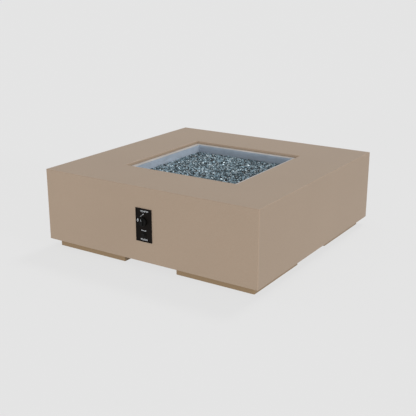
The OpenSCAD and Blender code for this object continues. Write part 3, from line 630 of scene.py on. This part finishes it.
class FIREPIT_OT_fill_bed(bpy.types.Operator):
    """Fills the pan with crushed fire glass over lava rock"""
    bl_idname = "fire_pit.fill_bed"
    bl_label = "Fill Fire Bed"

    FACING_UP = 0.2  # facets that look up less than this stay bare
    PATCH = 0.1  # the pieces are made in patches this wide, which is quicker

    # A loose piece, in shares of its own size
    DEEP, LONG, WIDE = (0.5, 0.8), (0.95, 1.3), (0.7, 1.0)
    FOOT, CROWN = (0.50, 0.60), (0.32, 0.50)
    SIDES = (4, 5, 5, 6)
    UNEVEN = 0.09
    WALL_ROOM = 0.55

    # How the pieces vary: mean and spread, or the two numbers of a beta curve for the tint
    SIZES, SMALLEST, LARGEST = (1.0, 0.2), 0.65, 1.5
    LEAN = (0.0, 0.28)
    LIFT = (0.0009, 0.0010)
    # Each face's tint strays from its piece's tint: painted light and shade on the facets
    TINTS, FACE_TINTS = (1.15, 1.55), (0.0, 0.16)

    def core(self, s):
        """The closed bed below the loose pieces, dark with painted shade."""
        bm = bmesh.new()
        bm.from_mesh(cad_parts["fire_glass"].data)
        bmesh.ops.remove_doubles(bm, verts=bm.verts, dist=TOUCHING)
        for vert in bm.verts:
            if vert.co.z > self.low + MM:
                vert.co.z -= s.gap
        piece = keep(bm, "fire_glass_core", glass_core(s))
        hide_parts("fire_glass")

    def chip(self, bm, tint, rng, place, way, size):
        """One sharp piece that lies on a facet, with a tint of its own and faces painted brighter or darker
        as painted light and shade.
        """
        lean = (way + Vector([rng.gauss(*self.LEAN) for _ in range(3)])).normalized()
        spin = Matrix.Rotation(rng.uniform(0.0, math.tau), 4, "Z")
        turn = lean.to_track_quat("Z", "Y").to_matrix().to_4x4() @ spin
        deep = size * rng.uniform(*self.DEEP)
        room = self.half - self.WALL_ROOM * size
        place = Vector([max(-room, min(room, v)) for v in place.xy] + [place.z])
        place += lean * (rng.gauss(*self.LIFT) - deep / 2)
        shape = Matrix.Diagonal((rng.uniform(*self.LONG), rng.uniform(*self.WIDE), 1.0, 1.0))
        made = bmesh.ops.create_cone(
            bm, cap_ends=True, cap_tris=False, segments=rng.choice(self.SIDES),
            radius1=size * rng.uniform(*self.FOOT), radius2=size * rng.uniform(*self.CROWN), depth=deep,
            matrix=Matrix.Translation(place) @ turn @ shape)["verts"]
        for vert in made:
            vert.co += Vector([rng.uniform(-self.UNEVEN, self.UNEVEN) * size for _ in range(3)])
        mean = rng.betavariate(*self.TINTS)
        # Per-face spread round the piece's tint: painted light and shade
        for face in dict.fromkeys(face for vert in made for face in vert.link_faces):
            face[tint] = min(1.0, max(0.0, mean + rng.gauss(*self.FACE_TINTS)))

    def spots(self, s, rng):
        """Where the loose pieces lie: patches of facets in each quarter of the bed."""
        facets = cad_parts["fire_glass"].data.polygons
        quarters = {}
        for facet in sorted(facets, key=lambda facet: facet.center.to_tuple(4)):
            place, way = facet.center.copy(), facet.normal.copy()
            if way.z > self.FACING_UP and rng.random() < s.share:
                patch = int(abs(place.x) / self.PATCH), int(abs(place.y) / self.PATCH)
                quarter = quarters.setdefault((place.y > 0.0, place.x > 0.0), {})
                quarter.setdefault(patch, []).append((place, way))
        return sorted(quarters.items())

    def execute(self, context):
        s = context.scene.fire_pit_glass
        low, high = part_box("fire_glass")
        self.half, self.low = high.x, low.z
        self.core(s)
        material = crushed_glass(s)
        rng = random.Random(s.seed)
        for (rear, right), patches in self.spots(s, rng):
            whole = bmesh.new()
            for patch in sorted(patches):
                bm = bmesh.new()
                tint = bm.faces.layers.float.new("tint")
                for place, way in patches[patch]:
                    size = s.size * min(self.LARGEST, max(self.SMALLEST, rng.gauss(*self.SIZES)))
                    self.chip(bm, tint, rng, place, way, size)
                bmesh.ops.triangulate(bm, faces=bm.faces)
                part = made_mesh(bm, "patch")
                whole.from_mesh(part)
                bpy.data.meshes.remove(part)
            name = f"fire_glass_{'back' if rear else 'front'}_{'right' if right else 'left'}"
            keep(whole, name, material)
        dress(lava_stone(s), "lava_rock")
        return {"FINISHED"}


class FIREPIT_OT_print_plate(bpy.types.Operator):
    """Coats the control plate and prints plain marks on it"""
    bl_idname = "fire_pit.print_plate"
    bl_label = "Print Control Plate"

    RIM = 0.0012  # how far the plate's rim stands above its face

    # Words: middle, across from the plate's middle and up from its top or bottom edge, and width
    OFF_AT, OFF_WIDE = (0.0060, -0.0125), 0.045
    PUSH_AT, PUSH_WIDE = (0.001, 0.0115), 0.038
    LETTER_HIGH, LETTER_GAP, LETTER_BOLD = 0.0080, 1.15, 0.02

    # Flame: middle from the knob's middle, size, and its outline in shares of that size
    FLAME_AT, FLAME_WIDE, FLAME_HIGH = (-0.0345, 0.0030), 0.0105, 0.0170
    FLAME_RINGS = ((1.0, 0.0), (0.52, 0.10))  # scale and drop of the outer and inner outline
    FLAME_STEPS, FLAME_BELLY, FLAME_PINCH, FLAME_CURVE, FLAME_SWAY = 28, 0.25, 0.94, 1.3, 0.12

    # Straight arrow from the knob's middle, and curved arrow round it that clears the button
    ARROW_FROM, ARROW_TO, ARROW_WAY = (-0.0190, 0.0210), (-0.0010, 0.0350), math.radians(38.0)
    ARROW_LINE = 0.0014
    ARC_FROM, ARC_TO, ARC_STEPS = math.radians(255.0), math.radians(285.0), 24
    ARC_CLEAR, ARC_HALF = 0.0195, 0.0012
    HEAD = 0.0038
    HEAD_CORNERS = ((0.0, 1.0), (2.3, 0.85), (-2.3, 0.85))  # turn from the way it points, share of HEAD
    HEAD_BACK = 0.57  # lines end this share of HEAD behind the middle of a head, at its base

    def word(self, bm, text, middle, width):
        """A word as a flat mesh, fitted to a width and the letters' height."""
        curve = bpy.data.curves.new("word", "FONT")
        curve.body = text
        curve.space_character = self.LETTER_GAP
        curve.offset = self.LETTER_BOLD
        holder = hold("word", curve)
        flat = finished_mesh(holder)
        bpy.data.objects.remove(holder)
        bpy.data.curves.remove(curve)
        xs = [v.co.x for v in flat.vertices]
        ys = [v.co.y for v in flat.vertices]
        size = Matrix.Diagonal(
            (width / (max(xs) - min(xs)), self.LETTER_HIGH / (max(ys) - min(ys)), 1.0, 1.0))
        centre = Matrix.Translation((-(max(xs) + min(xs)) / 2, -(max(ys) + min(ys)) / 2, 0.0))
        flat.transform(Matrix.Translation((*middle, 0.0)) @ size @ centre)
        bm.from_mesh(flat)
        bpy.data.meshes.remove(flat)

    def arc(self, bm, middle, reach, start, end):
        """A flat band round a middle, from one angle to another."""
        centre = Vector((*middle, 0.0))
        ends = [bm.verts.new(centre + Vector((r * math.cos(start), r * math.sin(start), 0.0)))
                for r in (reach - self.ARC_HALF, reach + self.ARC_HALF)]
        edge = bm.edges.new(ends)
        bmesh.ops.spin(bm, geom=ends + [edge], cent=centre, axis=(0.0, 0.0, 1.0), angle=end - start,
                       steps=self.ARC_STEPS, use_merge=False)

    def flame(self, bm, middle, width, height):
        """A flame drawn as an outline, thicker at its foot."""
        rings = []
        for scale, drop in self.FLAME_RINGS:
            made = bmesh.ops.create_circle(bm, segments=self.FLAME_STEPS, radius=0.5)["verts"]
            for vert in made:
                up = vert.co.y + 0.5
                above = max(0.0, (up - self.FLAME_BELLY) / (1.0 - self.FLAME_BELLY))
                narrow = 1.0 - self.FLAME_PINCH * above ** self.FLAME_CURVE
                across = vert.co.x * narrow + self.FLAME_SWAY * up * up
                vert.co = Vector((middle[0] + scale * width * across,
                                  middle[1] + height * (scale * (up - 0.5) - drop), 0.0))
            rings += dict.fromkeys(edge for vert in made for edge in vert.link_edges)
        bmesh.ops.bridge_loops(bm, edges=rings)

    def stroke(self, bm, start, end, width):
        """A straight line between two places."""
        start, end = Vector((*start, 0.0)), Vector((*end, 0.0))
        side = Vector((0.0, 0.0, 1.0)).cross(end - start).normalized() * width / 2
        bm.faces.new([bm.verts.new(v) for v in (start - side, end - side, end + side, start + side)])

    def tip(self, bm, place, way):
        """An arrow head at a place, pointing along an angle."""
        corners = []
        for turn, reach in self.HEAD_CORNERS:
            corners.append(bm.verts.new((place[0] + self.HEAD * reach * math.cos(way + turn),
                                         place[1] + self.HEAD * reach * math.sin(way + turn), 0.0)))
        bm.faces.new(corners)

    def straight_arrow(self, bm, knob_z):
        start, end = (Vector((x, knob_z + up)) for x, up in (self.ARROW_FROM, self.ARROW_TO))
        way = self.ARROW_WAY
        base = end - self.HEAD * self.HEAD_BACK * Vector((math.cos(way), math.sin(way)))
        self.stroke(bm, start, base, self.ARROW_LINE)
        self.tip(bm, end, way)

    def curved_arrow(self, bm, knob_z):
        reach = knob_z - middle_z("igniter_button") - self.ARC_CLEAR
        short = self.HEAD * self.HEAD_BACK / reach
        self.arc(bm, (0.0, knob_z), reach, self.ARC_FROM + short, self.ARC_TO - short)
        for angle, way in ((self.ARC_FROM, -90.0), (self.ARC_TO, 90.0)):
            place = Vector((reach * math.cos(angle), knob_z + reach * math.sin(angle)))
            self.tip(bm, place, angle + math.radians(way))

    def execute(self, context):
        s = context.scene.fire_pit_controls
        dress(black_coat(s), "control_plate")
        low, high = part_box("control_plate")
        knob_z = middle_z("control_knob")
        bm = bmesh.new()
        for text, (x, up), edge_z, width in (
                (s.off_word, self.OFF_AT, high.z, self.OFF_WIDE),
                (s.push_word, self.PUSH_AT, low.z, self.PUSH_WIDE)):
            self.word(bm, text, (x, edge_z + up), width)
        x, up = self.FLAME_AT
        self.flame(bm, (x, knob_z + up), self.FLAME_WIDE, self.FLAME_HIGH)
        self.straight_arrow(bm, knob_z)
        self.curved_arrow(bm, knob_z)
        bmesh.ops.recalc_face_normals(bm, faces=bm.faces)
        for face in bm.faces:
            if face.normal.z < 0.0:
                face.normal_flip()
        bmesh.ops.solidify(bm, geom=bm.faces[:], thickness=-s.ink_t)
        upright = Matrix.Rotation(math.radians(90.0), 4, "X")
        stand = Matrix.Translation((0.0, low.y + self.RIM, 0.0)) @ upright
        bmesh.ops.transform(bm, matrix=stand, verts=bm.verts)
        bmesh.ops.recalc_face_normals(bm, faces=bm.faces)
        keep(bm, "plate_print", printed_ink(s))
        return {"FINISHED"}


class FIREPIT_OT_make_knob(bpy.types.Operator):
    """Moulds the knob with a round skirt, a grip bar and a white pointer"""
    bl_idname = "fire_pit.make_knob"
    bl_label = "Make Knob"

    # Skirt from its hollow back over its edge to its face: in from the radius, along from the back
    HOLLOW, FACE = 0.008, 0.0095
    SKIRT = (
        (0.0045, HOLLOW), (0.0045, 0.0004), (0.0041, 0.0), (0.0008, 0.0), (0.0002, 0.0003), (0.0, 0.0009),
        (0.0004, FACE - 0.0012), (0.0007, FACE - 0.0005), (0.0014, FACE), (0.0032, FACE),
        (0.0036, FACE - 0.0004), (0.0042, FACE - 0.0004), (0.0046, FACE),
    )
    SKIRT_STEPS = 72

    # Grip bar and pointer, with the widths and segments of their bevels
    BAR_HALF, BAR_INSET, BAR_SUNK = 0.0065, 0.0045, 0.0005
    BAR_CORNERS, BAR_FRONT = (0.0045, 6), (0.0014, 4)
    MARK_HALF, MARK_START, MARK_INSET = 0.0007, 0.0055, 0.0062
    MARK_PROUD, MARK_SUNK, MARK_EDGES = 0.00012, 0.0004, (0.0001, 2)

    def bar(self, middle, radius, long):
        bm = bmesh.new()
        block(bm, (middle.x - self.BAR_HALF, middle.y - long, middle.z - radius + self.BAR_INSET),
              (middle.x + self.BAR_HALF, middle.y - self.FACE + self.BAR_SUNK,
               middle.z + radius - self.BAR_INSET))
        corners = [e for e in bm.edges if abs((e.verts[0].co - e.verts[1].co).normalized().y) > 0.9]
        bevel(bm, corners, *self.BAR_CORNERS)
        front = [e for e in bm.edges if all(v.co.y < middle.y - long + TOUCHING for v in e.verts)]
        bevel(bm, front, *self.BAR_FRONT)
        return bm

    def mark(self, middle, radius, long):
        bm = bmesh.new()
        block(bm, (middle.x - self.MARK_HALF, middle.y - long - self.MARK_PROUD, middle.z + self.MARK_START),
              (middle.x + self.MARK_HALF, middle.y - long + self.MARK_SUNK,
               middle.z + radius - self.MARK_INSET))
        bevel(bm, bm.edges[:], *self.MARK_EDGES)
        return bm

    def execute(self, context):
        s = context.scene.fire_pit_controls
        low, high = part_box("control_knob")
        radius, long = (high.x - low.x) / 2, high.y - low.y
        middle = Vector(((low.x + high.x) / 2, high.y, (low.z + high.z) / 2))
        skirt = bmesh.new()
        edge = [(radius - inset, along) for inset, along in self.SKIRT]
        revolve(skirt, [(0.0, self.HOLLOW), *edge, (0.0, self.FACE)], middle, self.SKIRT_STEPS)
        body = unite(skirt, self.bar(middle, radius, long))
        plastic = moulded_plastic(s, "moulded knob plastic", rough=0.40)
        piece = keep(body, "knob_body", plastic, "knob")
        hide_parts("control_knob")
        keep(self.mark(middle, radius, long), "knob_pointer", printed_ink(s), "knob")
        return {"FINISHED"}


class FIREPIT_OT_finish_igniter(bpy.types.Operator):
    """Gives the igniter's barrel its plastic and moulds its dished button"""
    bl_idname = "fire_pit.finish_igniter"
    bl_label = "Finish Igniter"

    ROUND, DISH, CHAMFER = 0.0020, 0.0006, 0.0003
    ROUND_STEPS, DISH_STEPS, TURN_STEPS = 6, 5, 64

    def execute(self, context):
        s = context.scene.fire_pit_controls
        dress(moulded_plastic(s, "igniter barrel plastic", rough=0.48), "igniter_housing")
        low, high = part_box("igniter_button")
        radius, long = (high.z - low.z) / 2, high.y - low.y
        flat, shoulder = radius - self.ROUND, long - self.ROUND
        profile = [(0.0, 0.0), (radius - self.CHAMFER, 0.0), (radius, self.CHAMFER)]
        for k in range(self.ROUND_STEPS + 1):
            angle = math.radians(90.0 * k / self.ROUND_STEPS)
            profile.append((flat + self.ROUND * math.cos(angle), shoulder + self.ROUND * math.sin(angle)))
        for k in range(1, self.DISH_STEPS + 1):
            share = 1.0 - k / self.DISH_STEPS
            profile.append((flat * share, long - self.DISH * (1.0 - share * share)))
        bm = bmesh.new()
        revolve(bm, profile, Vector((0.0, high.y, (low.z + high.z) / 2)), self.TURN_STEPS)
        plastic = moulded_plastic(s, "igniter button plastic", rough=0.30)
        piece = keep(bm, "igniter_cap", plastic, "button")
        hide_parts("igniter_button")
        return {"FINISHED"}


class FIREPIT_OT_run_gas_line(bpy.types.Operator):
    """Runs the ribbed hoses and the two leads between their fittings"""
    bl_idname = "fire_pit.run_gas_line"
    bl_label = "Run Gas Line"

    RIB_STEPS, HOSE_SIDES = 4, 20
    CUFF = 0.020  # smooth length at each end of a hose
    CREST = 0.0002  # how much the shoulders of a rib are lower than its middle
    LEAD_STEP, LEAD_SIDES = 0.004, 12

    def hose(self, s, name, route, material):
        """A hose with ribs along it and a smooth cuff at each end."""
        spacing = s.rib / self.RIB_STEPS
        path, run = even_route(route, spacing)
        outer, last, cuff = s.hose_d / 2, len(path) - 1, round(self.CUFF / spacing)
        rib = (outer - s.rib_deep, outer - self.CREST, outer, outer - self.CREST)
        radii = [rib[i % self.RIB_STEPS] if cuff <= i <= last - cuff else outer for i in range(last + 1)]
        self.lay(name, path, run, radii, self.HOSE_SIDES, material, s.hose_d, "hose_steel", "stiff")

    def lead(self, name, route, diameter, material, slot, stiffness):
        """A smooth round lead."""
        path, run = even_route(route, self.LEAD_STEP)
        radii = [diameter / 2] * len(path)
        self.lay(name, path, run, radii, self.LEAD_SIDES, material, diameter, slot, stiffness)

    def lay(self, name, path, run, radii, sides, material, diameter, slot, stiffness):
        """Makes the tube along a path in place of its frame node."""
        bm = bmesh.new()
        sweep(bm, path, radii, sides)
        piece = keep(bm, name + "_run", material, smooth=True)
        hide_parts(name)

    def execute(self, context):
        s = context.scene.fire_pit_gas
        steel = metal("corrugated steel", s.hose, rough=0.28, grain=0.0011)
        self.hose(s, "outlet_hose", OUTLET_ROUTE, steel)
        self.hose(s, "inlet_hose", INLET_ROUTE, steel)
        copper = metal("drawn copper", s.copper, rough=0.30, grain=0.0014)
        self.lead("thermocouple_lead", SENSOR_ROUTE, s.sensor_d, copper, "copper", "stiff")
        self.lead("spark_lead", SPARK_ROUTE, s.spark_d, silicone(s), "red_lead", "medium")
        return {"FINISHED"}


class FIREPIT_OT_wind_springs(bpy.types.Operator):
    """Winds the return springs of the valve and the igniter"""
    bl_idname = "fire_pit.wind_springs"
    bl_label = "Wind Springs"

    WIRE = 0.0007  # radius
    TURNS, TURN_STEPS, SIDES = 6, 28, 8
    TRAVEL = 0.004  # of both joints

    def execute(self, context):
        steel = metal("spring wire", context.scene.fire_pit_metal.zinc, rough=0.26, grain=0.0008)
        wire, count = self.WIRE, self.TURNS * self.TURN_STEPS
        for name, joint in (("valve_spring", "knob_push"), ("igniter_spring", "igniter_press")):
            low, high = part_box(name)
            coil = (high.x - low.x) / 2 - wire
            long, centre_z = high.y - low.y, (low.z + high.z) / 2
            path = []
            for k in range(count + 1):
                angle = math.tau * k / self.TURN_STEPS
                along = low.y + wire + (long - 2 * wire) * k / count
                path.append(Vector((coil * math.cos(angle), along, centre_z + coil * math.sin(angle))))
            bm = bmesh.new()
            sweep(bm, path, [wire] * len(path), self.SIDES)
            piece = keep(bm, name + "_coil", steel, smooth=True)
            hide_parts(name)
            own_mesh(piece)
        return {"FINISHED"}


class FIREPIT_OT_set_stage(bpy.types.Operator):
    """Sets a plain pale floor, soft light all round and the camera"""
    bl_idname = "fire_pit.set_stage"
    bl_label = "Set Stage"

    FLOOR_SIZE, FLOOR_PARTS = 60.0, 4
    LAMP_AWAY = 6.0
    SENSOR, FARTHEST = 36.0, 200.0

    # Lights: name, azimuth and elevation in degrees, and for the low ones their share of the strength
    TOP_LIGHT = ("top light", 180.0, 58.0)
    RIGHT_LIGHT = ("right light", 90.0, 11.0)
    LOW_LIGHTS = (
        ("front light", 0.0, 1.5, 0.735),
        ("front fill", 0.0, 7.0, 0.165),
        ("back light", 180.0, 0.8, 0.58),
        ("left light", 270.0, 0.8, 1.0),
    )
    LOW_NARROWER = 4

    def set_out(self, holder, middle, azimuth, elevation, distance):
        """Places a light or camera that looks at a middle; azimuth 0 is the front and 90 the right."""
        flat = math.cos(elevation)
        back = Vector((math.sin(azimuth) * flat, -math.cos(azimuth) * flat, math.sin(elevation)))
        holder.location = middle + back * distance
        holder.rotation_euler = back.to_track_quat("Z", "Y").to_euler()

    def lamp(self, name, azimuth, elevation, strength, soft):
        """A far soft light."""
        light = bpy.data.lights.new(name, "SUN")
        light.energy = strength
        light.angle = soft
        lamp = hold(name, light)
        self.set_out(lamp, Vector(), math.radians(azimuth), math.radians(elevation), self.LAMP_AWAY)
        return lamp

    def execute(self, context):
        scene, s = context.scene, context.scene.fire_pit_stage
        bm = bmesh.new()
        bmesh.ops.create_grid(
            bm, x_segments=self.FLOOR_PARTS, y_segments=self.FLOOR_PARTS, size=self.FLOOR_SIZE)
        floor = hold("studio_floor", made_mesh(bm, "studio_floor"))
        floor.data.materials.append(floor_paint(s))

        scene.world = bpy.data.worlds.new("even light")
        scene.world.use_nodes = True
        background = scene.world.node_tree.nodes["Background"].inputs
        background["Color"].default_value = (*WHITE, 1.0)
        background["Strength"].default_value = s.sky
        scene.view_settings.view_transform = "Standard"

        self.lamp(*self.TOP_LIGHT, s.top, s.soft)
        self.lamp(*self.RIGHT_LIGHT, s.side, s.soft)
        for *light, share in self.LOW_LIGHTS:
            self.lamp(*light, s.low * share, s.soft / self.LOW_NARROWER).visible_glossy = False

        camera = bpy.data.cameras.new("photo camera")
        camera.lens = s.lens
        camera.sensor_width = self.SENSOR
        camera.clip_end = self.FARTHEST
        camera.dof.use_dof = False
        scene.camera = hold("photo camera", camera)
        self.set_out(scene.camera, Vector(s.aim), s.azimuth, s.elevation, s.distance)
        return {"FINISHED"}


class FIREPIT_PT_parts(bpy.types.Panel):
    """Lists the steps that dress the table and their settings"""
    bl_idname = "FIREPIT_PT_parts"
    bl_label = "Gas Fire Pit Table"
    bl_space_type = "VIEW_3D"
    bl_region_type = "UI"
    bl_category = "Fire Pit"

    def draw(self, context):
        for operator in STEPS:
            self.layout.operator(operator.bl_idname)
        for name, group in SETTINGS.items():
            box = self.layout.box()
            box.label(text=group.__doc__)
            for key in group.__annotations__:
                box.prop(getattr(context.scene, name), key)


SETTINGS = {
    "fire_pit_stage": StageSettings,
    "fire_pit_casing": CasingSettings,
    "fire_pit_metal": MetalSettings,
    "fire_pit_glass": GlassSettings,
    "fire_pit_controls": ControlSettings,
    "fire_pit_gas": GasSettings,
}
STEPS = (
    FIREPIT_OT_set_stage, FIREPIT_OT_run_gas_line, FIREPIT_OT_coat_casing, FIREPIT_OT_finish_metal,
    FIREPIT_OT_fill_bed, FIREPIT_OT_print_plate, FIREPIT_OT_make_knob, FIREPIT_OT_finish_igniter,
    FIREPIT_OT_wind_springs,
)


def register():
    for cls in (*SETTINGS.values(), *STEPS, FIREPIT_PT_parts):
        bpy.utils.register_class(cls)
    for name, group in SETTINGS.items():
        setattr(bpy.types.Scene, name, PointerProperty(type=group))


def unregister():
    for name in SETTINGS:
        delattr(bpy.types.Scene, name)
    for cls in (FIREPIT_PT_parts, *reversed(STEPS), *reversed(SETTINGS.values())):
        bpy.utils.unregister_class(cls)


def main():
    register()
    for operator in STEPS:
        family, name = operator.bl_idname.split(".")
        getattr(getattr(bpy.ops, family), name)()
    bpy.context.view_layer.update()


if __name__ == "__main__":
    main()
